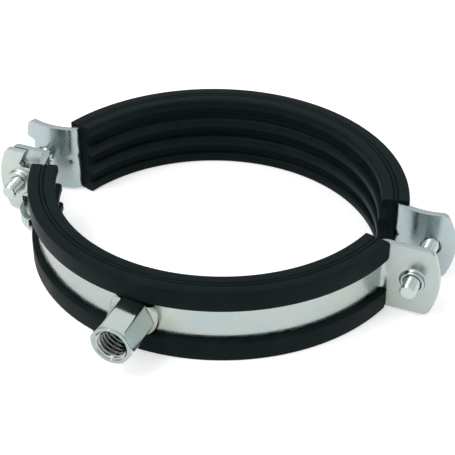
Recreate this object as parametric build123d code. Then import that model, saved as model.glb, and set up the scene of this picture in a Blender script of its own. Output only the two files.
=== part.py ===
# Two-piece pipe clamp with a rubber liner and a hexagon connection nut.
# Millimetres. Z is the pipe's axis, the connection nut points to -Y, and the two screws lie
# left and right of the ring, parallel to Y. The origin is the centre of the ring.
# The front half holds the connection nut. The rear half slides towards it as the screws close.

import os
from math import cos, radians, sqrt, tan

from build123d import *

# Steel strip
strip_t = 2.0
strip_w = 22.6
bend_r = 1.6  # inside radius of the bends to the ears
seat_gap = 0.05  # rubber to steel inside the liner's channel and at the bends

# Ring and liner
liner_outer_r = 60.3  # outer face of the rubber lips, which sets the pipe that the clamp takes
liner_under_t = 2.8  # rubber between the strip and the grooves
liner_edge_cover = 0.85  # rubber past each edge of the strip
lip_t = 1.9  # rubber over the outer face of the strip
lip_h = 6.7  # measured from the liner's edge
lip_edge_round = 0.5
lip_tip_round = 0.6
rib_edge_h = 1.7  # the two ribs at the liner's edges
rib_mid_h = 2.4  # the two middle ribs, which touch the pipe first
rib_w = 3.2
rib_round = 1.3
rib_count = 4
crown_line_in = 4.2  # fine line moulded in both end faces, from the outer face
crown_line_w = 0.6
crown_line_depth = 0.4
half_shift = 3.82  # how far each half sits inside the concentric place, as shown
rear_ring_x = -0.5  # the rear half stands a little to the left on its two screws

# Where the rubber stops short of the ears, as an angle above the ring's cross line
liner_end_left_deg = 16.9
liner_end_right_deg = 14.5

# Ears: distance of the face that looks at the other half from the middle of the clamp
ear_face_front_left = 3.65
ear_face_front_right = 8.8
ear_face_rear_left = 8.8
ear_face_rear_right = 7.6
# Ears: how far the corners reach past the screw's axis
ear_corner_front_left = 3.1
ear_corner_front_right = 4.95
ear_corner_rear_left = 5.85
ear_corner_rear_right = 4.15
ear_bulge = 2.8  # the outer edge bulges this far past the corners
ear_bulge_rear_left = 1.9
ear_corner_r = 1.4
# The rear ears are bowed towards the front half
bow_r = 22.0
bow_in = 3.0  # crest of the bow, from the screw's axis towards the ring
bow_depth = 4.0  # part of the ring's end that is cut to the bow

# Screws
screw_out = 5.85  # screw's axis past the liner's outer face
screw_d = 5.0
screw_length = 30.0  # under the head
screw_tip_front = 17.0  # how far the tips stand in front of the middle of the clamp, right side
screw_tip_front_left = 15.6
screw_tip_chamfer = 0.5
head_af = 8.0
head_h = 3.6
head_flange_d = 10.4
head_flange_t = 0.9
head_slot_w = 1.2
head_slot_depth = 1.5
thread_gap = 0.1  # plain shank to the plain wall of a threaded hole, each side
shank_hole_gap = 0.6  # shank to the wall of a clearance hole, each side

# Threaded collars drawn out of the sheet
collar_d = 8.2
collar_h = 1.7
collar_fillet = 0.8
collar_chamfer = 0.3

# Nut plate that hooks over the fixed ear at the left; places in X are from the screw's axis
plate_t = 2.0
plate_gap = 0.3  # to the fixed ear's front face
plate_inset = 0.1  # each edge of the plate inside the strip's edge
plate_corner_out = 4.15
plate_bulge = 2.9
plate_shoulder_in = 2.45  # inner end of the plate's upper shoulder
plate_notch_in = 0.15  # bottom of the notch beside the neck
plate_notch_bevel = 0.9
neck_w = 11.2
neck_bend_r = 1.2
neck_in = 5.75  # outer face of the part of the neck that goes back through the window
neck_back = 3.4  # how far the neck reaches behind the plate
arm_w = 3.6
arm_r = 10.5  # outer radius of the spring arm's curl
arm_bend_r = 1.2
arm_centre_in = 10.85
arm_centre_front = 1.35  # in front of the plate's back face
arm_end_deg = 251.0

# Window and slot in the fixed ear
window_gap = 0.6  # above and below the neck
window_in = 1.35  # outer end of the window, from the screw's axis
window_reach = 8.6  # how far down the strip the window is cut
fork_slot_gap = 0.7  # screw to the slot's sides

# Notch in the outer edge of the rear left ear
notch_out = 4.05  # bottom of the notch, from the screw's axis
notch_w = 8.4
notch_lead = 3.0  # from the bottom of the notch to the widest part of its mouth
notch_flare = 0.4

# Pressed gussets in the bends
gusset_w = 3.2
gusset_leg = 3.8

# Connection nut
nut_x = -2.5
nut_af = 12.0
nut_length = 16.4  # from the strip's outer face to the mouth
nut_lip_gap = 0.5  # hexagon to the rubber lips
nut_turn_deg = -6.0  # as it was welded
nut_bore_d = 8.5
nut_bore_depth = 13.6  # threaded and flat at the bottom, from the mouth
nut_mouth_d = 10.4
nut_face_d = 12.9  # circle left flat on the mouth by the chamfer
nut_face_chamfer_h = 1.0
foot_d = 15.4
foot_flat_gap = 0.45  # the foot lies between the rubber lips

# Values that follow from the sizes above
strip_outer_r = liner_outer_r - lip_t
strip_inner_r = strip_outer_r - strip_t
liner_width = strip_w + 2 * liner_edge_cover
liner_groove_r = strip_inner_r - liner_under_t
liner_edge_r = liner_groove_r - rib_edge_h
liner_mid_r = liner_groove_r - rib_mid_h
rib_pitch = (liner_width - rib_w) / (rib_count - 1)
crown_line_r = liner_outer_r - crown_line_in
foot_h = lip_t + nut_lip_gap
foot_flat_w = liner_width - 2 * lip_h - 2 * foot_flat_gap
screw_r = screw_d / 2
screw_x = liner_outer_r + screw_out
ear_reach = screw_x + 10.0  # the ears are cut back from here
ear_cut_reach = 3 * strip_t + bow_depth  # to each side of an ear's face
bow_x = screw_x - bow_in
plate_front_y = -(ear_face_front_left + strip_t + plate_gap + plate_t)
plate_back_y = plate_front_y + plate_t
plate_w = strip_w - 2 * plate_inset
plate_corner_x = screw_x + plate_corner_out
plate_notch_x = screw_x - plate_notch_in
neck_x = screw_x - neck_in
arm_centre_x = screw_x - arm_centre_in
arm_centre_y = plate_back_y - arm_centre_front
arm_inner_x = arm_centre_x + arm_r - plate_t
window_x = screw_x - window_in
far = 200.0


def half_plane_box(y_min, y_max, left):
    """Rectangle on one side of the ring, from y_min to y_max."""
    width = far
    x_mid = -width / 2 if left else width / 2
    height = y_max - y_min
    return Pos(x_mid, (y_min + y_max) / 2) * Rectangle(width, height)


def nearest_vertex(shape, x, y):
    return min(shape.vertices(), key=lambda v: (v.X - x) ** 2 + (v.Y - y) ** 2)


def bow_drop(x):
    """How far the bowed face of a rear ear lies behind its crest, at one place."""
    return bow_r - sqrt(bow_r**2 - (abs(x) - bow_x) ** 2)


def ring_cross_x(side, y, ring_x, radius):
    """Where a circle of the ring crosses one height, on one side (-1 or +1)."""
    return ring_x + side * sqrt(radius**2 - (y - half_shift) ** 2)


def flat_ears(plan, ears, ring_x, inner_r, thickness):
    """Cut the arc at its ears and add them as flat strips."""
    for side, ear_y in ears:
        plan -= half_plane_box(ear_y, far, side < 0)
    for side, ear_y in ears:
        start_x = ring_cross_x(side, ear_y, ring_x, inner_r)
        length = ear_reach - abs(start_x)
        centre_x = side * (abs(start_x) + length / 2)
        plan += Pos(centre_x, ear_y - thickness / 2) * Rectangle(length, thickness)
    return plan


def bowed_ears(plan, ears, ring_x, inner_r, thickness):
    """Cut the arc at its ears and add them as strips that bow towards the other half."""
    face_r = bow_r + (thickness - strip_t) / 2
    for side, ear_y in ears:
        face = Pos(side * bow_x, ear_y - face_r) * Circle(face_r)
        plan -= half_plane_box(ear_y - bow_depth, far, side < 0) - face
    for side, ear_y in ears:
        # The ear starts inside the arc's thickness
        mid_r = inner_r + thickness / 2
        start_x = abs(ring_cross_x(side, ear_y - bow_depth / 2, ring_x, mid_r))
        length = ear_reach - start_x
        window = Rectangle(length, 2 * bow_depth)
        window = Pos(side * (start_x + length / 2), ear_y - bow_depth) * window
        full_bow = Circle(face_r) - Circle(face_r - thickness)
        plan += (Pos(side * bow_x, ear_y - face_r) * full_bow) & window
    return plan


def band_solid(left_face, right_face, ring_x, bowed, grow=0.0):
    """Strip of one half that lies towards -Y, with its two ears, grown on every face.

    left_face and right_face are the distances of the ear faces that look at the other half.
    The ears run out to ear_reach, and the arc's centre is at ring_x.
    """
    inner_r = strip_inner_r - grow
    outer_r = strip_outer_r + grow
    ears = ((-1, grow - left_face), (1, grow - right_face))
    thickness = strip_t + 2 * grow
    plan = Pos(ring_x, half_shift) * (Circle(outer_r) - Circle(inner_r))
    add_ears = bowed_ears if bowed else flat_ears
    plan = add_ears(plan, ears, ring_x, inner_r, thickness)
    for side, ear_y in ears:
        bend_y = ear_y - (bow_drop(ring_cross_x(side, ear_y, ring_x, inner_r)) if bowed else 0)
        low_y = bend_y - thickness
        inner_x = ring_cross_x(side, bend_y, ring_x, inner_r)
        outer_x = ring_cross_x(side, low_y, ring_x, outer_r)
        plan = fillet(nearest_vertex(plan, inner_x, bend_y), bend_r + strip_t + grow)
        plan = fillet(nearest_vertex(plan, outer_x, low_y), bend_r - grow)
    return extrude(plan, strip_w / 2 + grow, both=True)


def ear_waste(side, corner_out, bulge, ear_y):
    """What is cut away outside the bulging end of an ear."""
    corner_x = screw_x + corner_out
    with BuildSketch(Plane.XZ) as outline:
        with BuildLine():
            inner = corner_x - 4 * ear_corner_r
            half = strip_w / 2
            Polyline((inner, half), (corner_x, half))
            ThreePointArc((corner_x, half), (corner_x + bulge, 0), (corner_x, -half))
            Polyline((corner_x, -half), (inner, -half), (inner, half))
        make_face()
        corners = [v for v in outline.vertices() if v.X > corner_x - ear_corner_r]
        fillet(corners, ear_corner_r)
    kept = extrude(outline.sketch, ear_cut_reach, both=True)
    waste_len = ear_reach - inner + strip_t
    waste = Pos(inner + waste_len / 2, 0, 0) * Box(waste_len, 2 * ear_cut_reach, 2 * strip_w)
    waste -= kept
    if side < 0:
        waste = mirror(waste, Plane.YZ)
    return Pos(0, ear_y, 0) * waste


def y_cylinder(x, radius, y_from, y_to, z=0.0):
    """Cylinder along Y between two places."""
    length = abs(y_to - y_from)
    return Pos(x, (y_from + y_to) / 2, z) * Rot(90, 0, 0) * Cylinder(radius, length)


def threaded_collar(x, sheet_y, outward):
    """Collar drawn out of a sheet towards outward (+1 or -1), with a filleted foot."""
    r = collar_d / 2
    with BuildSketch(Plane.XY) as section:
        with BuildLine():
            Polyline((0, -strip_t / 2), (r + collar_fillet, -strip_t / 2), (r + collar_fillet, 0))
            RadiusArc((r + collar_fillet, 0), (r, collar_fillet), collar_fillet)
            Polyline(
                (r, collar_fillet),
                (r, collar_h - collar_chamfer),
                (r - collar_chamfer, collar_h),
                (0, collar_h),
            )
            Line((0, collar_h), (0, -strip_t / 2))
        make_face()
    body = revolve(section.sketch, Axis.Y)
    if outward < 0:
        body = Rot(180, 0, 0) * body
    return Pos(x, sheet_y, 0) * body


def gusset(side, corner_x, corner_y):
    """Rounded rib pressed up in the inside corner of a bend, at mid height."""
    with BuildSketch(Plane.XY) as plan:
        with BuildLine():
            Polyline(
                (-strip_t / 2, -strip_t / 2),
                (gusset_leg, -strip_t / 2),
                (gusset_leg, 0),
                (0, gusset_leg),
                (-strip_t / 2, gusset_leg),
                (-strip_t / 2, -strip_t / 2),
            )
        make_face()
    rib = extrude(plan.sketch, gusset_w / 2, both=True)
    slope = rib.faces().sort_by(Axis((0, 0, 0), (1, 1, 0)))[-1]
    long_edges = [e for e in slope.edges() if abs(e.center().Z) > gusset_w / 4]
    rib = fillet(long_edges, gusset_w / 2 - 0.5)
    rib = mirror(rib, Plane.XZ)
    if side < 0:
        rib = mirror(rib, Plane.YZ)
    return Pos(corner_x, corner_y, 0) * rib


def front_band():
    left, right = -ear_face_front_left, -ear_face_front_right
    body = band_solid(ear_face_front_left, ear_face_front_right, 0, False)
    body -= ear_waste(-1, ear_corner_front_left, ear_bulge, left)
    body -= ear_waste(1, ear_corner_front_right, ear_bulge, right)
    back_y = right - strip_t
    body += gusset(1, ring_cross_x(1, back_y, 0, strip_outer_r), back_y)
    # Threaded collar in the right ear
    body += threaded_collar(screw_x, right - strip_t, -1)
    wall_r = screw_r + thread_gap
    body -= y_cylinder(screw_x, wall_r, right + strip_t, right - strip_t - 2 * collar_h)
    # Window for the neck of the nut plate, through the bend and part of the ear
    window_h = neck_w + 2 * window_gap
    window_len = window_x - strip_inner_r / 2
    window_mid_x = -(window_x + strip_inner_r / 2) / 2
    window = Box(window_len, window_reach, window_h)
    body -= Pos(window_mid_x, -window_reach / 2, 0) * window
    # Slot for the screw, open to the outer edge
    slot_w = screw_d + 2 * fork_slot_gap
    slot_len = ear_reach - window_x + strip_t
    slot_mid_x = -(window_x - strip_t + slot_len / 2)
    body -= Pos(slot_mid_x, left - strip_t / 2, 0) * Box(slot_len, 2 * strip_t, slot_w)
    return body


def rear_band():
    left, right = -ear_face_rear_left, -ear_face_rear_right
    body = band_solid(ear_face_rear_left, ear_face_rear_right, rear_ring_x, True)
    for side, ear_y, corner_out, bulge in (
        (-1, left, ear_corner_rear_left, ear_bulge_rear_left),
        (1, right, ear_corner_rear_right, ear_bulge),
    ):
        body -= ear_waste(side, corner_out, bulge, ear_y)
        back_y = ear_y - strip_t - bow_drop(strip_outer_r)
        body += gusset(side, ring_cross_x(side, back_y, rear_ring_x, strip_outer_r), back_y)
        hole_r = screw_r + shank_hole_gap
        body -= y_cylinder(side * screw_x, hole_r, ear_y + strip_t, ear_y - ear_cut_reach)
    # Notch in the left ear's outer edge, with a lead-in at each side
    bottom_x = -(screw_x + notch_out)
    mouth = notch_w / 2 + notch_flare
    with BuildSketch(Plane.XZ) as notch:
        with BuildLine():
            Polyline(
                (bottom_x, notch_w / 2),
                (bottom_x - notch_lead, mouth),
                (-ear_reach, mouth),
                (-ear_reach, -mouth),
                (bottom_x - notch_lead, -mouth),
                (bottom_x, -notch_w / 2),
                (bottom_x, notch_w / 2),
            )
        make_face()
    body -= Pos(0, left, 0) * extrude(notch.sketch, ear_cut_reach, both=True)
    return mirror(body, Plane.XZ)


def liner_section():
    """Section of the rubber liner: X is the radius and Y the height along the pipe."""
    half = liner_width / 2
    with BuildSketch(Plane.XY) as section:
        with Locations(((liner_groove_r + liner_outer_r) / 2, 0)):
            Rectangle(liner_outer_r - liner_groove_r, liner_width)
        # Ribs that touch the pipe, evenly spread from edge to edge
        for index in range(rib_count):
            z = half - rib_w / 2 - index * rib_pitch
            at_edge = index in (0, rib_count - 1)
            crest = liner_edge_r if at_edge else liner_mid_r
            depth = liner_groove_r - crest + liner_under_t / 2
            with Locations((crest + depth / 2, z)):
                RectangleRounded(depth, rib_w, rib_round)
        # Open part between the lips
        gap = liner_width - 2 * lip_h
        with Locations((liner_outer_r, 0)):
            Rectangle(2 * (liner_outer_r - strip_outer_r), gap, mode=Mode.SUBTRACT)
        # Fine line in both end faces
        for z in (half, -half):
            with Locations((crown_line_r, z)):
                Rectangle(crown_line_w, 2 * crown_line_depth, mode=Mode.SUBTRACT)
        corners = [
            v
            for v in section.vertices()
            if v.X > liner_outer_r - 0.01 and abs(v.Y) > half - 0.01
        ]
        fillet(corners, lip_edge_round)
        lip_tips = [
            v
            for v in section.vertices()
            if v.X > liner_outer_r - 0.01 and abs(v.Y) < gap / 2 + 0.01
        ]
        fillet(lip_tips, lip_tip_round)
    return section.sketch


def liner_half(left_face, right_face, ring_x, bowed):
    """Rubber of the half that lies towards -Y, between its two end angles.

    The strip lies in a channel of the rubber, so a slightly grown strip is cut out of it.
    """
    section = Plane.XZ * liner_section()
    sweep_deg = 180 - liner_end_left_deg - liner_end_right_deg
    body = revolve(section, Axis.Z, sweep_deg)
    # The revolve runs from +X anticlockwise; turn it so that it starts at the left end.
    start = 180 + liner_end_left_deg
    body = Pos(ring_x, half_shift, 0) * Rot(0, 0, start) * body
    body -= band_solid(left_face, right_face, ring_x, bowed, seat_gap)
    return body.solids().sort_by(SortBy.VOLUME)[-1]


def front_liner():
    return liner_half(ear_face_front_left, ear_face_front_right, 0, False)


def rear_liner():
    rubber = liner_half(ear_face_rear_left, ear_face_rear_right, rear_ring_x, True)
    return mirror(rubber, Plane.XZ)


def nut_bore():
    """Blind, countersunk hole of the connection nut, along Z with its mouth on top."""
    bore_r = nut_bore_d / 2
    mouth_h = (nut_mouth_d - nut_bore_d) / 2
    bottom = nut_length - nut_bore_depth
    with BuildSketch(Plane.XZ) as section:
        with BuildLine():
            Polyline(
                (0, bottom),
                (bore_r, bottom),
                (bore_r, nut_length - mouth_h),
                (nut_mouth_d / 2, nut_length),
                (0, nut_length),
                (0, bottom),
            )
        make_face()
    return revolve(section.sketch, Axis.Z)


def connection_nut():
    seat_y = half_shift - sqrt(strip_outer_r**2 - nut_x**2)
    mouth_y = seat_y - nut_length
    # Built along Z with the mouth up, then laid along -Y
    across_corners = nut_af / cos(radians(30))
    hexagon = RegularPolygon(across_corners / 2, 6, rotation=nut_turn_deg)
    body = Pos(0, 0, foot_h) * extrude(hexagon, nut_length - foot_h)
    # Chamfer at the mouth turned on the corners
    cone_top = nut_face_d / 2
    cone_low = cone_top + nut_face_chamfer_h * tan(radians(60))
    with BuildSketch(Plane.XZ) as turned:
        with BuildLine():
            Polyline(
                (0, 0),
                (cone_low, 0),
                (cone_low, nut_length - nut_face_chamfer_h),
                (cone_top, nut_length),
                (0, nut_length),
                (0, 0),
            )
        make_face()
    body &= revolve(turned.sketch, Axis.Z)
    foot = Cylinder(foot_d / 2, foot_h, align=(Align.CENTER, Align.CENTER, Align.MIN))
    foot = fillet(foot.edges().sort_by(Axis.Z)[-1], foot_h * 0.5)
    # The foot goes below its seat, to be pressed to the strip's curve
    foot += Cylinder(foot_d / 2, foot_h, align=(Align.CENTER, Align.CENTER, Align.MAX))
    foot &= Box(foot_d, foot_flat_w, 3 * foot_h)
    body += foot
    body -= nut_bore()
    body = Pos(nut_x, seat_y, 0) * Rot(90, 0, 0) * body
    strip_drum = Pos(0, half_shift, 0) * Cylinder(strip_outer_r, liner_width)
    return body - strip_drum


def nut_plate():
    """Threaded plate that hooks over the fixed ear, with its neck and spring arm."""
    half = plate_w / 2
    neck_half = neck_w / 2
    arm_top = -half + arm_w
    with BuildSketch(Plane.XZ) as outline:
        with BuildLine():
            Polyline(
                (-plate_corner_x, half),
                (plate_shoulder_in - screw_x, half),
                (-plate_notch_x, neck_half + plate_notch_bevel),
                (-plate_notch_x + plate_notch_bevel, neck_half),
                (-neck_x - neck_bend_r - plate_t, neck_half),
                (-neck_x - neck_bend_r - plate_t, -neck_half),
                (-plate_notch_x, -neck_half),
                (-plate_notch_x, arm_top),
                (-arm_inner_x, arm_top),
                (-arm_inner_x, -half),
                (-plate_corner_x, -half),
            )
            tip = (-plate_corner_x - plate_bulge, 0)
            ThreePointArc((-plate_corner_x, -half), tip, (-plate_corner_x, half))
        make_face()
        corners = [v for v in outline.vertices() if v.X < -plate_corner_x + 0.01]
        fillet(corners, ear_corner_r)
    plate_mid = (plate_front_y + plate_back_y) / 2
    body = Pos(0, plate_mid, 0) * extrude(outline.sketch, plate_t / 2, both=True)
    # Neck: it turns back and goes through the window of the fixed ear
    neck_end_y = plate_back_y + neck_back
    neck_start_x = -neck_x - neck_bend_r - plate_t
    with BuildSketch(Plane.XY) as neck_plan:
        with BuildLine():
            Polyline(
                (neck_start_x, plate_back_y),
                (neck_start_x, plate_front_y),
                (-neck_x + plate_t, plate_front_y),
                (-neck_x + plate_t, neck_end_y),
                (-neck_x, neck_end_y),
                (-neck_x, plate_back_y),
                (neck_start_x, plate_back_y),
            )
        make_face()
        fillet(nearest_vertex(neck_plan, -neck_x + plate_t, plate_front_y), neck_bend_r + plate_t)
        fillet(nearest_vertex(neck_plan, -neck_x, plate_back_y), neck_bend_r)
    body += extrude(neck_plan.sketch, neck_half, both=True)
    # Spring arm: it curls forward round the liner's end
    with BuildSketch(Plane.XY) as arm_plan:
        with BuildLine():
            arm_sweep = arm_end_deg - 180
            centre = (-arm_centre_x, arm_centre_y)
            outer = CenterArc(centre, arm_r, 180, arm_sweep)
            inner = CenterArc(centre, arm_r - plate_t, 180, arm_sweep)
            Line(outer @ 1, inner @ 1)
            Polyline(outer @ 0, (-arm_centre_x - arm_r, plate_back_y), (-arm_inner_x, plate_back_y))
            Line((-arm_inner_x, plate_back_y), inner @ 0)
        make_face()
        fillet(nearest_vertex(arm_plan, -arm_inner_x, plate_back_y), arm_bend_r)
    body += Pos(0, 0, -half + arm_w / 2) * extrude(arm_plan.sketch, arm_w / 2, both=True)
    body += threaded_collar(-screw_x, plate_front_y, -1)
    wall_r = screw_r + thread_gap
    body -= y_cylinder(-screw_x, wall_r, plate_back_y + strip_t, plate_front_y - 2 * collar_h)
    return body


def closing_screw(x, tip_y):
    """Hexagon flange screw along Y, with its tip towards -Y and a slot in its head."""
    # Built along Z with the tip down at 0
    shank = Cylinder(screw_r, screw_length, align=(Align.CENTER, Align.CENTER, Align.MIN))
    shank = chamfer(shank.edges().sort_by(Axis.Z)[0], screw_tip_chamfer)
    flange = Cylinder(
        head_flange_d / 2, head_flange_t, align=(Align.CENTER, Align.CENTER, Align.MIN)
    )
    flange = fillet(flange.edges().sort_by(Axis.Z)[-1], head_flange_t * 0.6)
    hexagon = RegularPolygon(head_af / 2 / cos(radians(30)), 6)
    head = extrude(hexagon, head_h)
    crown = Cylinder(
        head_af * 0.56, head_h, align=(Align.CENTER, Align.CENTER, Align.MIN)
    )
    crown = chamfer(crown.edges().sort_by(Axis.Z)[-1], head_h * 0.14)
    head &= crown
    slot = Box(2 * head_af, head_slot_w, 2 * head_slot_depth)
    cross = Box(head_slot_w, head_af * 0.7, 2 * head_slot_depth)
    head -= Pos(0, 0, head_h) * slot
    head -= Pos(0, 0, head_h) * cross
    screw = shank + Pos(0, 0, screw_length) * (flange + head)
    return Pos(x, tip_y, 0) * Rot(-90, 0, 0) * screw


def left_screw():
    return closing_screw(-screw_x, -screw_tip_front_left)


def right_screw():
    return closing_screw(screw_x, -screw_tip_front)


NODES = {
    "front_band": front_band,
    "rear_band": rear_band,
    "front_liner": front_liner,
    "rear_liner": rear_liner,
    "connection_nut": connection_nut,
    "nut_plate": nut_plate,
    "left_screw": left_screw,
    "right_screw": right_screw,
}

os.makedirs("parts", exist_ok=True)
for name, build in NODES.items():
    solid = build()
    export_step(solid, f"parts/{name}.step")
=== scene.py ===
# Rubber-lined pipe clamp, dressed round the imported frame. Sizes are in metres.
from collections import namedtuple
from math import acos, atan2, cos, pi, radians, sin, sqrt, tan, tau

import bmesh
import bpy
from mathutils import Matrix, Vector


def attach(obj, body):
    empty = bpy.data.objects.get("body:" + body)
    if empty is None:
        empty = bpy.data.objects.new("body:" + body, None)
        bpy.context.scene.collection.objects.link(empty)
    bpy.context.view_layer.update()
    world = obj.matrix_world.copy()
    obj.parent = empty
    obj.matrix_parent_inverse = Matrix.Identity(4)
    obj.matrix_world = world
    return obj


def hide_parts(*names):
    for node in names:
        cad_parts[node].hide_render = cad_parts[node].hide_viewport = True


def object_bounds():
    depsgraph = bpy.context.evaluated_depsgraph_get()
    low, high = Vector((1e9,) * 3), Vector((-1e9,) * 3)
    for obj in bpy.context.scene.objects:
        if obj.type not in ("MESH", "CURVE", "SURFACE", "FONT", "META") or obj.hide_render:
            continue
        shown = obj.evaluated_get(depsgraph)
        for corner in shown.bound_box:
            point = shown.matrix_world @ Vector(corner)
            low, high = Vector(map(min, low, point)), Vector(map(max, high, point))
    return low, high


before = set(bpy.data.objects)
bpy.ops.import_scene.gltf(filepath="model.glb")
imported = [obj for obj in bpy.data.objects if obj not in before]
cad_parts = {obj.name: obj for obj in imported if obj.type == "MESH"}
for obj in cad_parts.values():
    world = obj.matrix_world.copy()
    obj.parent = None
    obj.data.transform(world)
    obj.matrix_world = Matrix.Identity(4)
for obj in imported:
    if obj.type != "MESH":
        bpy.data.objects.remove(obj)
cad_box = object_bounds()

bl_info = {
    "name": "Rubber-lined pipe clamp",
    "version": (1, 0, 0),
    "blender": (4, 5, 0),
    "location": "View3D > Sidebar > Pipe clamp",
    "description": "Builds a two-piece pipe clamp with its liner, screws and connection nut",
    "category": "Add Mesh",
}

MM = 0.001
CLASSES = []

# Points that lie closer than this are one, in a cut mesh and at the seam of a wound or swept one
WELD = 0.002 * MM
SEAM_WELD = 0.0005 * MM

# Flat strip: a cut right through its thickness, and how far its sharp edges are broken
THROUGH = (-4 * MM, 4 * MM)
STRIP_EDGE = 0.22 * MM

# Ears: the face that looks at the other half, the corner, and the bulge of the end beyond it
Ear = namedtuple("Ear", "face corner bulge")
FRONT_EARS = Ear(3.65 * MM, 69.25 * MM, 2.8 * MM), Ear(8.8 * MM, 71.1 * MM, 2.8 * MM)
REAR_EARS = Ear(8.8 * MM, 72.0 * MM, 1.9 * MM), Ear(7.6 * MM, 70.3 * MM, 2.8 * MM)

# Plated finishes: lean to the warm bloom, roughness range, brightness, dark nut ends and painted bore
# shade
ZINC_FINISHES = {
    "zinc strip": dict(warm=0.40),
    # Rear strip: the strip's zinc leant to the bluish bloom, a painted bluish shade tint
    "zinc rear strip, shade tint": dict(warm=-0.6),
    "zinc plate": dict(warm=0.75, rough=(0.22, 0.38), gain=1.12),
    # Nut: darker at its turned mouth and its welded foot, with painted shade down its bore
    "zinc nut": dict(warm=0.45, rough=(0.07, 0.14), gain=1.3, dark_ends_and_bore_shade=True),
    "zinc screw": dict(warm=0.10, rough=(0.12, 0.26), gain=1.2),
}

# Stage: glow of the floor where it is seen, light of the room, and backdrop from below to overhead
FLOOR_SIZE = 3.0
FLOOR_LIFT = 0.45
ROOM_LIGHT = 0.55
BACKDROP_TONES = [
    (0.0, (1.0, 1.0, 1.0)),
    (0.56, (1.0, 1.0, 1.0)),
    (0.64, (0.70, 0.72, 0.73)),
    (0.72, (0.85, 0.86, 0.87)),
    (0.78, (1.0, 1.0, 1.0)),
    (1.0, (1.0, 1.0, 1.0)),
]

# Soft lamps that look at the middle of the ring: place, width and height, and power in watts
Lamp = namedtuple("Lamp", "name place size power")
LAMPS = (
    Lamp("key", (-0.30, -0.30, 0.65), (0.45, 0.45), 3.0),
    Lamp("side", (0.65, 0.10, 0.40), (0.3, 0.5), 1.0),
)

# Camera as in the photograph: lens and sensor in millimetres, place, and its right and back
LENS, SENSOR = 108.07, 36.0
CAMERA_PLACE = (0.13656, -0.3238, 0.2436)
CAMERA_RIGHT = (0.9245, 0.3811, 0.0)
CAMERA_BACK = (0.3107, -0.7539, 0.5788)


def registered(cls):
    """Keep the order in which the classes are registered."""
    CLASSES.append(cls)
    return cls


def length_property(name, default_mm, text):
    """Length that a user may change, with its default in millimetres."""
    return bpy.props.FloatProperty(
        name=name, description=text, default=default_mm * MM, min=0.0, unit="LENGTH", precision=5
    )


def colour_property(name, default, text):
    """Colour that a user may change."""
    return bpy.props.FloatVectorProperty(
        name=name, description=text, default=default, min=0.0, max=1.0, size=3, subtype="COLOR"
    )


@registered
class ClampSizes(bpy.types.PropertyGroup):
    """Driving sizes of the clamp."""

    liner_outer: length_property("Liner radius", 60.3, "Outer face of the rubber lips")
    liner_width: length_property("Liner width", 24.3, "Width of the rubber along the pipe")
    edge_rib_r: length_property("Edge rib radius", 51.9, "Crest of the two ribs at the edges")
    mid_rib_r: length_property("Middle rib radius", 51.2, "Crest of the two middle ribs")
    groove_r: length_property("Groove radius", 53.6, "Floor of the grooves between the ribs")
    rib_width: length_property("Rib width", 3.2, "Width of one rib")
    rib_pitch: length_property("Rib pitch", 7.03, "Distance from rib to rib")
    lip: length_property("Lip thickness", 1.9, "Rubber over the outer face of the strip")
    lip_width: length_property("Lip width", 6.7, "From the liner's edge to the lip's edge")
    strip: length_property("Strip thickness", 2.0, "Thickness of the pressed strip")
    strip_width: length_property("Strip width", 22.6, "Width of the pressed strip")
    bend: length_property("Bend radius", 1.6, "Inside radius of the bends to the ears")
    half_shift: length_property("Closure", 3.82, "How far each half is inside the round place")
    rear_x: length_property("Rear half's place", 0.5, "How far the rear half stands to the left")
    bow: length_property("Bow radius", 22.0, "Radius of the bowed rear ears")
    bow_x: length_property("Bow crest", 63.15, "Crest of the bow, from the middle")
    nut_shift: length_property("Nut's place", 2.5, "How far the nut stands to the left")
    nut_flats: length_property("Nut width", 12.0, "Connection nut across its flats")
    nut_length: length_property("Nut length", 16.4, "From the strip to the nut's mouth")
    foot_height: length_property("Foot height", 2.4, "Height of the nut's welded foot")
    foot_r: length_property("Foot radius", 7.7, "Radius of the nut's welded foot")
    thread_r: length_property("Thread radius", 4.98, "Root of the thread in the nut")
    mouth_r: length_property("Mouth radius", 5.15, "Edge of the countersink in the nut")
    screw_x: length_property("Screw place", 66.15, "Distance of the screws from the middle")
    shank: length_property("Shank", 30.0, "Length of the screws under their heads")


@registered
class ClampFinishes(bpy.types.PropertyGroup):
    """Colours of the clamp."""

    zinc: colour_property("Zinc", (0.405, 0.455, 0.445), "Main tone of the zinc plating")
    zinc_warm: colour_property("Zinc, warm", (0.445, 0.475, 0.43), "Yellowish bloom of the plating")
    zinc_cool: colour_property("Zinc, cool", (0.355, 0.445, 0.475), "Bluish bloom of the plating")
    rubber: colour_property("Rubber", (0.0050, 0.0105, 0.0112), "Black rubber of the liner")
    floor: colour_property("Floor", (0.90, 0.90, 0.90), "Pale floor under the clamp")


def sizes():
    return bpy.context.scene.clamp_sizes


def finishes():
    return bpy.context.scene.clamp_finishes


# Mesh helpers


def temporary(bm, name="cutter"):
    """Object that only lives while another mesh is being cut."""
    mesh = bpy.data.meshes.new(name)
    bm.to_mesh(mesh)
    bm.free()
    obj = bpy.data.objects.new(name, mesh)
    bpy.context.scene.collection.objects.link(obj)
    return obj


def combine(bm, cutters, operation="DIFFERENCE"):
    """Cut, join or intersect a closed mesh with others, one after the other."""
    base = temporary(bm, "base")
    tools = [temporary(cutter) for cutter in cutters]
    for tool in tools:
        modifier = base.modifiers.new("combine", "BOOLEAN")
        modifier.operation = operation
        modifier.solver = "EXACT"
        modifier.object = tool
    bpy.context.view_layer.update()
    graph = bpy.context.evaluated_depsgraph_get()
    mesh = bpy.data.meshes.new_from_object(base.evaluated_get(graph))
    result = bmesh.new()
    result.from_mesh(mesh)
    bpy.data.meshes.remove(mesh)
    for obj in [base] + tools:
        old = obj.data
        bpy.data.objects.remove(obj)
        bpy.data.meshes.remove(old)
    bmesh.ops.remove_doubles(result, verts=result.verts, dist=WELD)
    return result


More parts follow.
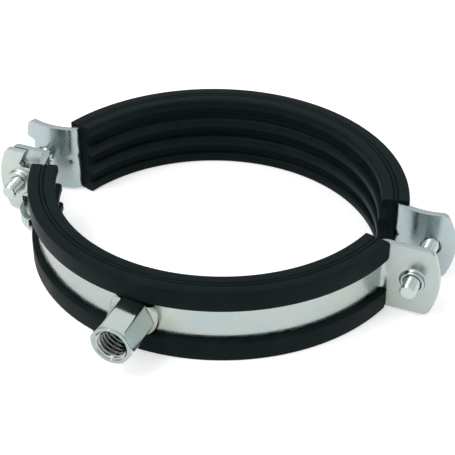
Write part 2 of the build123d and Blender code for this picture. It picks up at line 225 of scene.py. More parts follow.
def break_edges(bm, width, angle_deg=30, segments=2, keep=None):
    """Round the sharp edges of a mesh a little, or those of them that keep allows."""
    edges = [
        edge
        for edge in bm.edges
        if len(edge.link_faces) == 2
        and edge.calc_face_angle(0.0) > radians(angle_deg)
        and (keep is None or keep(edge))
    ]
    bmesh.ops.bevel(
        bm,
        geom=edges,
        offset=width,
        offset_type="OFFSET",
        segments=segments,
        profile=0.5,
        affect="EDGES",
        clamp_overlap=True,
        material=-1,
    )


def place_piece(bm, name, body, material, nodes=(), smooth_deg=40):
    """Make the finished mesh a piece of the object that rides on its body."""
    bmesh.ops.recalc_face_normals(bm, faces=bm.faces)
    for face in bm.faces:
        face.smooth = True
    mesh = bpy.data.meshes.new(name)
    bm.to_mesh(mesh)
    bm.free()
    mesh.set_sharp_from_angle(angle=radians(smooth_deg))
    mesh.materials.append(material)
    obj = bpy.data.objects.new(name, mesh)
    bpy.context.scene.collection.objects.link(obj)
    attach(obj, body)
    if nodes:
        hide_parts(*nodes)


def block(x_range, y_range, z_range):
    """Closed box between three pairs of places."""
    bm = bmesh.new()
    bmesh.ops.create_cube(bm, size=1.0)
    lows, highs = (Vector(corner) for corner in zip(x_range, y_range, z_range))
    bmesh.ops.scale(bm, vec=highs - lows, verts=bm.verts)
    bmesh.ops.translate(bm, vec=(lows + highs) / 2, verts=bm.verts)
    return bm


def raise_faces(bm, faces, height):
    """Extrude faces straight up."""
    grown = bmesh.ops.extrude_face_region(bm, geom=faces)
    moved = [item for item in grown["geom"] if isinstance(item, bmesh.types.BMVert)]
    bmesh.ops.translate(bm, vec=(0, 0, height), verts=moved)


def prism(points, low, high):
    """Closed prism on an outline in X and Y, from one height to another."""
    bm = bmesh.new()
    ring = [bm.verts.new((x, y, low)) for x, y in points]
    face = bm.faces.new(ring)
    raise_faces(bm, [face], high - low)
    bmesh.ops.recalc_face_normals(bm, faces=bm.faces)
    return bm


def bar(radius, low, high, sides=64):
    """Closed bar along Z, round or with few sides."""
    bm = bmesh.new()
    bmesh.ops.create_cone(
        bm, cap_ends=True, segments=sides, radius1=radius, radius2=radius, depth=high - low
    )
    bmesh.ops.translate(bm, vec=(0, 0, (low + high) / 2), verts=bm.verts)
    return bm


def across_corners(flats):
    """Radius of a hexagon's corners from its width across the flats."""
    return flats / 2 / cos(pi / 6)


def turned(profile, steps=96):
    """Solid turned about Z from an outline of (radius, height), closed or with its ends on the axis."""
    bm = bmesh.new()
    verts = [bm.verts.new((r, 0, z)) for r, z in profile]
    edges = [bm.edges.new(pair) for pair in zip(verts, verts[1:])]
    bmesh.ops.spin(
        bm, geom=verts + edges, cent=(0, 0, 0), axis=(0, 0, 1), angle=tau, steps=steps, use_merge=True
    )
    bmesh.ops.remove_doubles(bm, verts=bm.verts, dist=SEAM_WELD)
    bmesh.ops.recalc_face_normals(bm, faces=bm.faces)
    return bm


def arc_points(centre, radius, start_deg, end_deg, count):
    """Points on an arc, both ends included."""
    step = (end_deg - start_deg) / count
    angles = [radians(start_deg + step * i) for i in range(count + 1)]
    return [(centre[0] + radius * cos(a), centre[1] + radius * sin(a)) for a in angles]


def rounded(corners, count=5):
    """Outline through (x, y, radius) corners, each rounded to its own radius."""
    outline = []
    for i, (x, y, radius) in enumerate(corners):
        here = Vector((x, y))
        if radius <= 0:
            outline.append((x, y))
            continue
        before = Vector(corners[i - 1][:2]) - here
        after = Vector(corners[(i + 1) % len(corners)][:2]) - here
        half = before.angle(after) / 2
        reach = radius / tan(half)
        middle = here + (before.normalized() + after.normalized()).normalized() * (radius / sin(half))
        first = here + before.normalized() * reach - middle
        last = here + after.normalized() * reach - middle
        start = atan2(first.y, first.x)
        sweep = (atan2(last.y, last.x) - start + pi) % tau - pi
        for k in range(count + 1):
            a = start + sweep * k / count
            outline.append((middle.x + radius * cos(a), middle.y + radius * sin(a)))
    return outline


def threaded_rod(radius, depth, pitch, length, sides=48, rows_per_turn=8, tip=0.0):
    """Closed rod along Z from 0 with a right-hand thread, coned at its lower end by tip."""
    crest, flanks = 0.12, 0.7
    rows = round(length / pitch * rows_per_turn)
    bm = bmesh.new()
    bmesh.ops.create_grid(bm, x_segments=sides, y_segments=rows, size=1.0)
    for vert in bm.verts:
        turn = (vert.co.x + 1) / 2
        height = (vert.co.y + 1) / 2 * length
        phase = (height / pitch - turn) % 1.0
        from_crest = abs(phase - 0.5) * 2
        cut = min(max((from_crest - crest) / flanks, 0.0), 1.0)
        r = radius - depth * cut
        if tip:
            r = min(r, radius - tip + height)
        vert.co = (r * cos(turn * tau), r * sin(turn * tau), height)
    bmesh.ops.remove_doubles(bm, verts=bm.verts, dist=SEAM_WELD)
    rims = [edge for edge in bm.edges if len(edge.link_faces) == 1]
    bmesh.ops.holes_fill(bm, edges=rims, sides=0)
    bmesh.ops.recalc_face_normals(bm, faces=bm.faces)
    return bm


def along_minus_y(bm, x, y, roll=0.0):
    """Lay a mesh made along +Z so that it points to -Y from (x, y)."""
    turn = Matrix.Rotation(pi / 2, 4, "X") @ Matrix.Rotation(roll, 4, "Z")
    bmesh.ops.transform(bm, matrix=Matrix.Translation((x, y, 0)) @ turn, verts=bm.verts)
    return bm


# Materials


def node_tree(name):
    """New material with an empty node tree."""
    material = bpy.data.materials.new(name)
    material.use_nodes = True
    tree = material.node_tree
    tree.nodes.clear()
    return material, tree


def add(tree, kind, **values):
    """New node; values whose names are sockets are set on them, the others on the node."""
    node = tree.nodes.new(kind)
    for key, value in values.items():
        socket_name = key.replace("_", " ").title()
        if socket_name in node.inputs:
            node.inputs[socket_name].default_value = value
        else:
            setattr(node, key, value)
    return node


def link(tree, source, target):
    tree.links.new(source, target)


def calculated(tree, operation, first, second):
    """Result of one operation on two values, each of them a socket or a number."""
    node = add(tree, "ShaderNodeMath", operation=operation)
    for socket, value in zip(node.inputs, (first, second)):
        if isinstance(value, float):
            socket.default_value = value
        else:
            link(tree, value, socket)
    return node.outputs[0]


def one_axis(tree, vector, axis):
    """X, Y or Z of a vector."""
    node = tree.nodes.new("ShaderNodeSeparateXYZ")
    link(tree, vector, node.inputs[0])
    return node.outputs[axis]


def noise(tree, coordinates, scale, detail, roughness):
    node = add(tree, "ShaderNodeTexNoise", scale=scale, detail=detail, roughness=roughness)
    link(tree, coordinates, node.inputs["Vector"])
    return node.outputs["Fac"]


def ramp(tree, source, stops):
    """Colour ramp from (place, colour) stops."""
    node = tree.nodes.new("ShaderNodeValToRGB")
    elements = node.color_ramp.elements
    while len(elements) < len(stops):
        elements.new(0.5)
    for element, (place, colour) in zip(elements, stops):
        element.position = place
        element.color = (*colour, 1.0)
    link(tree, source, node.inputs["Fac"])
    return node.outputs["Color"]


def span(tree, source, low, high, from_low=0.3, from_high=0.7):
    """Value mapped from one range to another."""
    node = add(
        tree, "ShaderNodeMapRange", from_min=from_low, from_max=from_high, to_min=low, to_max=high
    )
    link(tree, source, node.inputs["Value"])
    return node.outputs["Result"]


def shader_end(tree, shader):
    output = tree.nodes.new("ShaderNodeOutputMaterial")
    link(tree, shader.outputs[0], output.inputs["Surface"])


def bump(tree, height, strength, distance=0.05 * MM):
    node = add(tree, "ShaderNodeBump", strength=strength, distance=distance)
    link(tree, height, node.inputs["Height"])
    return node.outputs["Normal"]


def brighter(colour, gain):
    """Colour times a gain, short of white."""
    return [min(channel * gain, 0.95) for channel in colour]


def darkened(tree, colour, amount, factor):
    """Colour that falls to a part of itself where the factor is 1."""
    factor_in, first_in, second_in, colour_out = 0, 6, 7, 2
    mix = add(tree, "ShaderNodeMix", data_type="RGBA", blend_type="MULTIPLY")
    link(tree, factor, mix.inputs[factor_in])
    link(tree, colour, mix.inputs[first_in])
    mix.inputs[second_in].default_value = (amount, amount, amount, 1.0)
    return mix.outputs[colour_out]


def nut_seat():
    """Y of the strip's outer face behind the connection nut."""
    s = sizes()
    return s.half_shift - sqrt((s.liner_outer - s.lip) ** 2 - s.nut_shift**2)


def painted_bore_shade(tree, coordinates):
    """Mask of the painted shade in the connection nut's hole: 0 outside it, rising to 1 a few threads
    down.
    """
    s = sizes()
    start, full = 0.03 * MM, 2.73 * MM
    offset = add(tree, "ShaderNodeVectorMath", operation="ADD")
    offset.inputs[1].default_value = (s.nut_shift, 0, 0)
    link(tree, coordinates, offset.inputs[0])
    across = add(tree, "ShaderNodeVectorMath", operation="MULTIPLY")
    across.inputs[1].default_value = (1, 0, 1)
    link(tree, offset.outputs[0], across.inputs[0])
    radius = add(tree, "ShaderNodeVectorMath", operation="LENGTH")
    link(tree, across.outputs[0], radius.inputs[0])
    inside = span(tree, radius.outputs["Value"], 1.0, 0.0, s.thread_r + 0.02 * MM, s.mouth_r)
    mouth = nut_seat() - s.nut_length
    deep = span(tree, one_axis(tree, coordinates, "Y"), 0.0, 1.0, mouth + start, mouth + full)
    return calculated(tree, "MULTIPLY", inside, deep)


def at_the_ends(tree, coordinates):
    """1 on the connection nut's turned mouth and on its welded foot, 0 between them."""
    length = sizes().nut_length
    seat = nut_seat()
    along = span(tree, one_axis(tree, coordinates, "Y"), 0.0, 1.0, seat - length, seat)
    black, white = (0.0, 0.0, 0.0), (1.0, 1.0, 1.0)
    from_mouth = [(0.29 * MM, white), (0.65 * MM, black), (13.25 * MM, black), (13.97 * MM, white)]
    return ramp(tree, along, [(place / length, tone) for place, tone in from_mouth])


def zinc(name, warm, rough=(0.16, 0.30), gain=1.0, dark_ends_and_bore_shade=False):
    """Bright zinc plating: mottled between bluish and yellowish, finely grained; on the nut, darker at
    both ends and with painted shade down its bore.
    """
    tones = finishes()
    material, tree = node_tree(name)
    coordinates = tree.nodes.new("ShaderNodeTexCoord").outputs["Object"]
    bloom = noise(tree, coordinates, scale=70.0, detail=3.0, roughness=0.55)
    stops = [
        (0.28, brighter(tones.zinc_cool, gain)),
        (0.55 - 0.25 * warm, brighter(tones.zinc, gain)),
        (0.75, brighter(tones.zinc_warm, gain)),
    ]
    colour = ramp(tree, bloom, stops)
    if dark_ends_and_bore_shade:
        # The nut darkens to two thirds at its turned mouth and at its welded foot
        colour = darkened(tree, colour, 0.66, at_the_ends(tree, coordinates))
        # Painted shade: the colour falls to a quarter a few threads down the bore
        colour = darkened(tree, colour, 0.25, painted_bore_shade(tree, coordinates))
    spread = noise(tree, coordinates, scale=260.0, detail=4.0, roughness=0.6)
    fine = noise(tree, coordinates, scale=900.0, detail=3.0, roughness=0.6)
    shader = add(tree, "ShaderNodeBsdfPrincipled", metallic=1.0)
    link(tree, colour, shader.inputs["Base Color"])
    link(tree, span(tree, spread, *rough), shader.inputs["Roughness"])
    link(tree, bump(tree, fine, strength=0.10), shader.inputs["Normal"])
    shader_end(tree, shader)
    return material


def moulded_rubber(name):
    """Satin black rubber with a faint grey bloom and a fine grain."""
    tones = finishes()
    material, tree = node_tree(name)
    coordinates = tree.nodes.new("ShaderNodeTexCoord").outputs["Object"]
    bloom = noise(tree, coordinates, scale=120.0, detail=4.0, roughness=0.6)
    dark, pale = brighter(tones.rubber, 0.75), brighter(tones.rubber, 1.4)
    colour = ramp(tree, bloom, [(0.32, dark), (0.55, tones.rubber), (0.75, pale)])
    fine = noise(tree, coordinates, scale=1500.0, detail=2.0, roughness=0.5)
    shader = add(tree, "ShaderNodeBsdfPrincipled", metallic=0.0)
    shader.inputs["Specular IOR Level"].default_value = 0.055
    link(tree, colour, shader.inputs["Base Color"])
    link(tree, span(tree, bloom, 0.40, 0.56), shader.inputs["Roughness"])
    link(tree, bump(tree, fine, strength=0.25), shader.inputs["Normal"])
    shader_end(tree, shader)
    return material


def material_of(name):
    """Material of the clamp by name, made on first use."""
    found = bpy.data.materials.get(name)
    if found:
        return found
    if name in ZINC_FINISHES:
        return zinc(name, **ZINC_FINISHES[name])
    return moulded_rubber(name)


# Pressed strip: made flat, cut, and then bent along the middle line of its thickness


def crossing(first, first_r, second, second_r):
    """Upper point where two circles meet."""
    line = second - first
    gap = line.length
    part = (first_r**2 - second_r**2 + gap**2) / (2 * gap)
    rise = sqrt(first_r**2 - part**2)
    line.normalize()
    side = Vector((-line.y, line.x))
    if side.y < 0:
        side = -side
    return first + line * part + side * rise


class EarPath:
    """Middle line from the ring's end through the bend to the tip of a right ear."""

    def __init__(self, ear, ring_x, bowed):
        s = sizes()
        self.bulge = ear.bulge
        self.tip = ear.corner + ear.bulge
        self.bend_r = s.bend + s.strip / 2
        ring = Vector((ring_x, s.half_shift))
        away = s.liner_outer - s.lip - s.strip / 2 + self.bend_r
        if bowed:
            self.bow = Vector((s.bow_x, -ear.face - s.bow))
            self.bow_r = s.bow - s.strip / 2
            self.bend = crossing(ring, away, self.bow, self.bow_r - self.bend_r)
            rise = self.bend - self.bow
            self.end_angle = atan2(rise.y, rise.x)
        else:
            self.bow = None
            self.line_y = -ear.face - s.strip / 2
            bend_y = self.line_y - self.bend_r
            self.bend = Vector((ring_x + sqrt(away**2 - (bend_y - ring.y) ** 2), bend_y))
            self.end_angle = pi / 2
        self.tilt = atan2(ring.y - self.bend.y, self.bend.x - ring.x)
        self.turn_len = self.bend_r * (pi - self.tilt - self.end_angle)
        self.length = self.to(self.tip)

    def to(self, x):
        """Length along the ear, from its bend to a place."""
        if self.bow is None:
            return x - self.bend.x
        return self.bow_r * (self.end_angle - acos((x - self.bow.x) / self.bow_r))

    def place(self, along, depth):
        """Point at a length from the ring's end, depth towards the other half."""
        if along <= self.turn_len:
            a = pi - self.tilt - along / self.bend_r
            middle, r = self.bend, self.bend_r + depth
        elif self.bow is None:
            return self.bend.x + along - self.turn_len, self.line_y + depth
        else:
            a = self.end_angle - (along - self.turn_len) / self.bow_r
            middle, r = self.bow, self.bow_r + depth
        return middle.x + r * cos(a), middle.y + r * sin(a)


class StripPath:
    """Middle line of one half's strip, for a half that lies towards -Y, from left to right."""

    def __init__(self, ears, ring_x=0.0, bowed=False):
        s = sizes()
        self.centre = (ring_x, s.half_shift)
        self.ring_r = s.liner_outer - s.lip - s.strip / 2
        self.left = EarPath(ears[0], -ring_x, bowed)
        self.right = EarPath(ears[1], ring_x, bowed)
        ring_len = self.ring_r * (pi - self.left.tilt - self.right.tilt)
        lengths = (
            self.left.length,
            self.left.turn_len,
            ring_len,
            self.right.turn_len,
            self.right.length,
        )
        self.stops = [0.0]
        for length in lengths:
            self.stops.append(self.stops[-1] + length)

    def at_x(self, x):
        """Length along the strip of a place on one of the two ears."""
        if x < 0:
            return self.stops[1] - self.left.to(-x)
        return self.stops[4] + self.right.to(x)

    def bend_middles(self):
        """Lengths along the strip at the middle of its left and its right bend."""
        return self.stops[1] + self.left.turn_len / 2, self.stops[3] + self.right.turn_len / 2

    def place(self, along, depth):
        """Point at a length along the strip, depth towards the other half or the pipe."""
        if along < self.stops[2]:
            x, y = self.left.place(self.stops[2] - along, depth)
            return -x, y
        if along > self.stops[3]:
            return self.right.place(along - self.stops[3], depth)
        a = pi + self.left.tilt + (along - self.stops[2]) / self.ring_r
        r = self.ring_r - depth
        return self.centre[0] + r * cos(a), self.centre[1] + r * sin(a)


def front_path():
    return StripPath(FRONT_EARS)


def rear_path():
    return StripPath(REAR_EARS, -sizes().rear_x, True)


def end_shortfall(z, bulge):
    """How much shorter an ear is than its tip, at a height."""
    half = sizes().strip_width / 2
    corner = 1.4 * MM
    bulge_r = (half * half + bulge**2) / (2 * bulge)
    short = bulge_r - sqrt(bulge_r * bulge_r - z * z)
    into = abs(z) - (half - corner)
    if into > 0:
        short += corner - sqrt(max(corner * corner - into * into, 0.0))
    return short


def flat_strip(path):
    """Blank of the strip lying flat: X along it, Y across it and Z through it."""
    s = sizes()
    half = s.strip_width / 2
    columns, rows = 300, 48
    # Shares of the columns between which lie the left ear, its bend, the ring, the right bend and ear
    shares = [0.0, 0.10, 0.18, 0.82, 0.90, 1.0]
    tiny = 1e-9
    left, right = path.left, path.right
    bm = bmesh.new()
    bmesh.ops.create_grid(bm, x_segments=columns, y_segments=rows, size=1.0)
    for vert in bm.verts:
        u = (vert.co.x + 1) / 2
        y = half * sin(vert.co.y * pi / 2)
        ends = list(path.stops)
        ends[0] = path.stops[1] - left.to(left.tip - end_shortfall(y, left.bulge))
        ends[5] = path.stops[4] + right.to(right.tip - end_shortfall(y, right.bulge))
        part = sum(u > share + tiny for share in shares[1:5])
        within = (u - shares[part]) / (shares[part + 1] - shares[part])
        vert.co = (ends[part] + within * (ends[part + 1] - ends[part]), y, 0)
    raise_faces(bm, bm.faces[:], s.strip)
    bmesh.ops.translate(bm, vec=(0, 0, -s.strip / 2), verts=bm.verts)
    bmesh.ops.recalc_face_normals(bm, faces=bm.faces)
    return bm


def pressed_rib(along, y, centre, height):
    """How far the sheet is pushed out of its plane by a gusset across a bend."""
    half_width, half_length = 1.7 * MM, 2.9 * MM
    across = max(0.0, 1 - (y / half_width) ** 2)
    length = max(0.0, 1 - ((along - centre) / half_length) ** 2)
    return height * across**1.5 * length**1.2


def bend_strip(bm, path, ribs, flip):
    """Bend the flat blank along its path; flip turns it into the half at the back."""
    for vert in bm.verts:
        along, y, depth = vert.co
        for centre, height in ribs:
            depth -= pressed_rib(along, y, centre, height)
        x, place_y = path.place(along, depth)
        vert.co = (x, -place_y if flip else place_y, y)
    bmesh.ops.recalc_face_normals(bm, faces=bm.faces)
    return bm


def flat_bar(path, x, radius):
    """Round cutter through the flat blank at a place on an ear."""
    bm = bar(radius, *THROUGH, 56)
    bmesh.ops.translate(bm, vec=(path.at_x(x), 0, 0), verts=bm.verts)
    return bm


def drawn_collar(x, sheet_y):
    """Collar drawn out of a sheet towards -Y round a threaded hole."""
    outer, inner, height, foot = 3.7 * MM, 2.6 * MM, 1.5 * MM, 0.6 * MM
    sink, lead, round_r = 0.3 * MM, (0.3 * MM, 0.25 * MM), 0.45 * MM
    profile = [(inner, -sink), (inner, height - lead[1]), (inner + lead[0], height)]
    profile += arc_points((outer - round_r, height - round_r), round_r, 90, 0, 5)
    profile += arc_points((outer + foot, foot), foot, 180, 270, 6)
    profile += [(outer + foot, -sink), (inner, -sink)]
    return along_minus_y(turned(profile, 72), x, sheet_y)


@registered
class CLAMP_OT_front_band(bpy.types.Operator):
    """Pressed strip of the front half, with its collar, slot and window"""

    bl_idname = "clamp.front_band"
    bl_label = "Front band"

    def execute(self, context):
        s = sizes()
        path = front_path()
        window_half, slot_half, hole_r = 6.2 * MM, 3.2 * MM, 2.6 * MM
        window_start = path.at_x(-64.8 * MM)
        window_end = path.stops[2] + 2.2 * MM
        beyond_tip = -5 * MM
        cutters = [
            block((window_start, window_end), (-window_half, window_half), THROUGH),
            block((beyond_tip, window_start + s.strip), (-slot_half, slot_half), THROUGH),
            flat_bar(path, s.screw_x, hole_r),
        ]
        bm = combine(flat_strip(path), cutters)
        break_edges(bm, STRIP_EDGE)
        right_rib = 0.2 * MM
        bend_strip(bm, path, [(path.bend_middles()[1], right_rib)], False)
        plating = material_of("zinc strip")
        place_piece(bm, "front_band_strip", "front_half", plating, ["front_band"])
        collar = drawn_collar(s.screw_x, -(FRONT_EARS[1].face + s.strip))
        place_piece(collar, "front_band_collar", "front_half", plating)
        return {"FINISHED"}


@registered
class CLAMP_OT_rear_band(bpy.types.Operator):
    """Pressed strip of the rear half, with its two drilled ears"""

    bl_idname = "clamp.rear_band"
    bl_label = "Rear band"

    def execute(self, context):
        screw_x = sizes().screw_x
        path = rear_path()
        hole_r = 3.1 * MM
        bottom, lead, beyond_tip = path.at_x(-70.2 * MM), 3.0 * MM, -8 * MM
        bottom_half, mouth_half = 4.2 * MM, 4.6 * MM
        notch = [
            (bottom, -bottom_half),
            (bottom, bottom_half),
            (bottom - lead, mouth_half),
            (beyond_tip, mouth_half),
            (beyond_tip, -mouth_half),
            (bottom - lead, -mouth_half),
        ]
        cutters = [
            prism(notch, *THROUGH),
            flat_bar(path, -screw_x, hole_r),
            flat_bar(path, screw_x, hole_r),
        ]
        bm = combine(flat_strip(path), cutters)
        break_edges(bm, STRIP_EDGE)
        rib_heights = (0.3 * MM, 0.5 * MM)
        bend_strip(bm, path, list(zip(path.bend_middles(), rib_heights)), True)
        # Zinc with a painted bluish shade tint: a shaded copy of the front strip's finish
        plating = material_of("zinc rear strip, shade tint")
        place_piece(bm, "rear_band_strip", "rear_half", plating, ["rear_band"])
        return {"FINISHED"}


# Rubber liners


def edge_lines(height):
    """Corners of the two fine lines that run round the flat edge of the liner."""
    middle_r, half_width, depth = 56.1 * MM, 0.30 * MM, 0.50 * MM
    corners = []
    for r in (middle_r + 2 * half_width, middle_r - 2 * half_width):
        corners += [
            (r + half_width, height, 0.1 * MM),
            (r, height - depth, 0.08 * MM),
            (r - half_width, height, 0.1 * MM),
        ]
    return corners


def liner_outline():
    """Closed section of the liner as (radius, height)."""
    s = sizes()
    play, slant = 0.05 * MM, 0.25 * MM
    half = s.liner_width / 2
    strip_out = s.liner_outer - s.lip + play
    strip_in = s.liner_outer - s.lip - s.strip - play
    channel = s.strip_width / 2 + play
    lip_edge = half - s.lip_width
    rib = s.rib_width / 2
    edge_rib = half - rib
    mid_rib = edge_rib - s.rib_pitch
    rib_round, groove_round = 0.9 * MM, 0.5 * MM
    upper = [
        (strip_in, 0.0, 0.0),
        (strip_in, channel, 0.0),
        (strip_out, channel, 0.0),
        (strip_out, lip_edge, 0.15 * MM),
        (s.liner_outer, lip_edge, 0.6 * MM),
        (s.liner_outer, half, 0.5 * MM),
        *edge_lines(half),
        (s.edge_rib_r, half, 0.8 * MM),
        (s.edge_rib_r, edge_rib - rib, rib_round),
        (s.groove_r, edge_rib - rib - slant, groove_round),
        (s.groove_r, mid_rib + rib + slant, groove_round),
        (s.mid_rib_r, mid_rib + rib, rib_round),
        (s.mid_rib_r, mid_rib - rib, rib_round),
        (s.groove_r, mid_rib - rib - slant, groove_round),
        (s.groove_r, 0.0, 0.0),
    ]
    lower = [(r, -z, round_r) for r, z, round_r in reversed(upper[1:-1])]
    return rounded(upper + lower)


def liner_shell(start_deg, sweep_deg, centre):
    """Rubber swept round the ring, closed at both ends."""
    steps_per_degree = 1.1
    steps = int(sweep_deg * steps_per_degree)
    bm = bmesh.new()
    a = radians(start_deg)
    verts = [bm.verts.new((r * cos(a), r * sin(a), z)) for r, z in liner_outline()]
    first = bm.faces.new(verts)
    bmesh.ops.spin(
        bm, geom=[first], cent=(0, 0, 0), axis=(0, 0, 1), angle=radians(sweep_deg), steps=steps
    )
    bmesh.ops.remove_doubles(bm, verts=bm.verts, dist=SEAM_WELD)
    bmesh.ops.translate(bm, vec=(*centre, 0), verts=bm.verts)
    bmesh.ops.recalc_face_normals(bm, faces=bm.faces)
    return bm


def ear_clearance(path):
    """Slightly grown strip near the two bends, to be cut out of the rubber."""
    grow, near = 0.04 * MM, 9 * MM
    bm = flat_strip(path)
    width = sizes().strip_width
    for vert in bm.verts:
        vert.co.y += grow if vert.co.y > 0 else -grow
        vert.co.z += grow if vert.co.z > 0 else -grow
    middle = block((path.stops[2] + near, path.stops[3] - near), (-width, width), THROUGH)
    return bend_strip(combine(bm, [middle]), path, [], False)


def build_liner(name, body, node, path, flip):
    """Liner of one half; flip turns it into the half at the back."""
    left_end, right_end = 16.9, 14.5
    shell = liner_shell(180 + left_end, 180 - left_end - right_end, path.centre)
    bm = combine(shell, [ear_clearance(path)])
    if flip:
        bmesh.ops.scale(bm, vec=(1, -1, 1), verts=bm.verts)
        bmesh.ops.reverse_faces(bm, faces=bm.faces)
    place_piece(bm, name, body, material_of("moulded rubber"), [node], 50)


@registered
class CLAMP_OT_liners(bpy.types.Operator):
    """Ribbed rubber liners of both halves"""

    bl_idname = "clamp.liners"
    bl_label = "Rubber liners"

    def execute(self, context):
        build_liner("front_liner_rubber", "front_half", "front_liner", front_path(), False)
        build_liner("rear_liner_rubber", "rear_half", "rear_liner", rear_path(), True)
        return {"FINISHED"}


# Connection nut, made along +Z from the strip's outer face


def upright(edge):
    """Whether an edge rises along Z."""
    return abs(edge.verts[0].co.z - edge.verts[1].co.z) > MM


def nut_hexagon():
    """Hexagon with broken edges and a turned mouth."""
    s = sizes()
    corner_r, length, low = across_corners(s.nut_flats), s.nut_length, s.foot_height - MM
    face_r, broken = 6.08 * MM, 0.42 * MM
    bm = bar(corner_r, s.foot_height, length, 6)
    bmesh.ops.rotate(bm, cent=(0, 0, 0), matrix=Matrix.Rotation(pi / 6, 3, "Z"), verts=bm.verts)
    break_edges(bm, broken, 30, 3, upright)
    envelope = turned(
        [
            (0, low),
            (corner_r + MM, low),
            (corner_r + MM, length - 3.0 * MM),
            (corner_r, length - 1.1 * MM),
            (face_r + 0.12 * MM, length - 0.3 * MM),
            (face_r - 0.1 * MM, length - 0.07 * MM),
            (face_r - 0.4 * MM, length),
            (0, length),
        ]
    )
    return combine(bm, [envelope], "INTERSECT")


def nut_foot():
    """Welded foot: a low round collar, flat where it stands between the rubber lips."""
    s = sizes()
    sink, flat_half, reach = 1.5 * MM, 5.1 * MM, 5 * MM
    round_r, edge_z = s.foot_height * 0.72, s.foot_height * 0.28
    collar = turned(
        [(0, -sink), (s.foot_r, -sink), (s.foot_r, s.foot_height * 0.25)]
        + arc_points((s.foot_r - round_r, edge_z), round_r, 0, 90, 9)
        + [(0, s.foot_height)]
    )
    sides = block((-2 * s.foot_r, 2 * s.foot_r), (-flat_half, flat_half), (-reach, reach))
    collar = combine(collar, [sides], "INTERSECT")
    # A hair higher, so that its top doesn't lie in the plane of the hexagon's end
    bmesh.ops.translate(collar, vec=(0, 0, 0.001 * MM), verts=collar.verts)
    return collar


def nut_bore():
    """Cutters of the bore: its thread, which runs out at both ends, and the mouth's countersink."""
    s = sizes()
    depth, pitch, run_out = 0.80 * MM, 1.5 * MM, 3 * MM
    low, high = 0.45 * MM, MM
    thread = threaded_rod(s.thread_r, depth, pitch, s.nut_length + 2 * run_out, 72, 10)
    bmesh.ops.translate(thread, vec=(0, 0, -run_out), verts=thread.verts)
    bottom, top = s.nut_length - low, s.nut_length + high
    mouth = turned([(0, bottom), (s.mouth_r - low, bottom), (s.mouth_r + high, top), (0, top)])
    return [thread, mouth]


@registered
class CLAMP_OT_connection_nut(bpy.types.Operator):
    """Hexagonal connection nut with its thread and welded foot"""

    bl_idname = "clamp.connection_nut"
    bl_label = "Connection nut"

    def execute(self, context):
        s = sizes()
        roll, half_width, gap = radians(-6.0), 20 * MM, 0.01 * MM
        bm = combine(nut_hexagon(), [nut_foot()], "UNION")
        bm = combine(bm, nut_bore())
        along_minus_y(bm, -s.nut_shift, nut_seat(), roll)
        drum = bar(s.liner_outer - s.lip + gap, -half_width, half_width, 512)
        bmesh.ops.translate(drum, vec=(0, s.half_shift, 0), verts=drum.verts)
        bm = combine(bm, [drum])
        plating = material_of("zinc nut")
        place_piece(
            bm, "connection_nut_thread", "front_half", plating, ["connection_nut"], 32
        )
        return {"FINISHED"}


@registered
class CLAMP_OT_nut_plate(bpy.types.Operator):
    """Plate that hooks over the fixed ear, with softened edges"""

    bl_idname = "clamp.nut_plate"
    bl_label = "Nut plate"

    def execute(self, context):
        edge, flat_deg = 0.16 * MM, 0.5
        bm = bmesh.new()
        bm.from_mesh(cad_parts["nut_plate"].data)
        bmesh.ops.remove_doubles(bm, verts=bm.verts, dist=WELD)
        bmesh.ops.dissolve_limit(
            bm, angle_limit=radians(flat_deg), verts=bm.verts, edges=bm.edges, delimit={"NORMAL"}
        )
        break_edges(bm, edge, 40)
        plating = material_of("zinc plate")
        place_piece(bm, "nut_plate_pressing", "plate", plating, ["nut_plate"])
        return {"FINISHED"}


# Screws, made along +Z from their tips


def screw_head():
    """Flanged hexagon head with a cross slot, seated at the end of the shank."""
    flats, head, flange_r, flange = 8.0 * MM, 3.6 * MM, 5.2 * MM, 0.9 * MM
    slot_half, slot_depth, cross_half = 0.6 * MM, 1.5 * MM, 2.8 * MM
    crown_r, crown_height = flats / 2 * 0.93, 0.9 * MM
    corner_r = across_corners(flats)
    seat = sizes().shank
    top = seat + head
    crown = turned(
        [
            (0, seat - MM),
            (corner_r + MM, seat - MM),
            (corner_r + MM, top - crown_height),
            (crown_r, top),
            (0, top),
        ]
    )
    hexagon = combine(bar(corner_r, seat, top, 6), [crown], "INTERSECT")
    round_r, edge_z, low = flange * 0.6, seat + flange * 0.4, seat - 0.002 * MM
    washer = turned(
        [(0, low), (flange_r, low), (flange_r, edge_z)]
        + arc_points((flange_r - round_r, edge_z), round_r, 0, 90, 5)
        + [(0, seat + flange)]
    )
    cut = (top - slot_depth, top + MM)
    slot = block((-flats, flats), (-slot_half, slot_half), cut)
    cross = block((-slot_half, slot_half), (-cross_half, cross_half), cut)
    bm = combine(hexagon, [washer], "UNION")
    bm = combine(bm, [slot, cross])
    break_edges(bm, 0.1 * MM, 50)
    return bm


def clamp_screw(node, body, x, tip_y):
    """Hexagon flange screw with its tip towards -Y."""
    thread_r, depth, pitch, tip = 2.48 * MM, 0.42 * MM, 0.8 * MM, 0.45 * MM
    rod = threaded_rod(thread_r, depth, pitch, sizes().shank, 56, 8, tip)
    head = screw_head()
    turn = Matrix.Translation((x, tip_y, 0)) @ Matrix.Rotation(-pi / 2, 4, "X")
    for part in (head, rod):
        bmesh.ops.transform(part, matrix=turn, verts=part.verts)
    plating = material_of("zinc screw")
    place_piece(rod, node + "_thread", body, plating, [node], 45)
    place_piece(head, node + "_head", body, plating, (), 35)


@registered
class CLAMP_OT_screws(bpy.types.Operator):
    """Both clamping screws"""

    bl_idname = "clamp.screws"
    bl_label = "Screws"

    def execute(self, context):
        x = sizes().screw_x
        clamp_screw("left_screw", "screw_left", -x, -15.6 * MM)
        clamp_screw("right_screw", "screw_right", x, -17.0 * MM)
        return {"FINISHED"}


# Stage


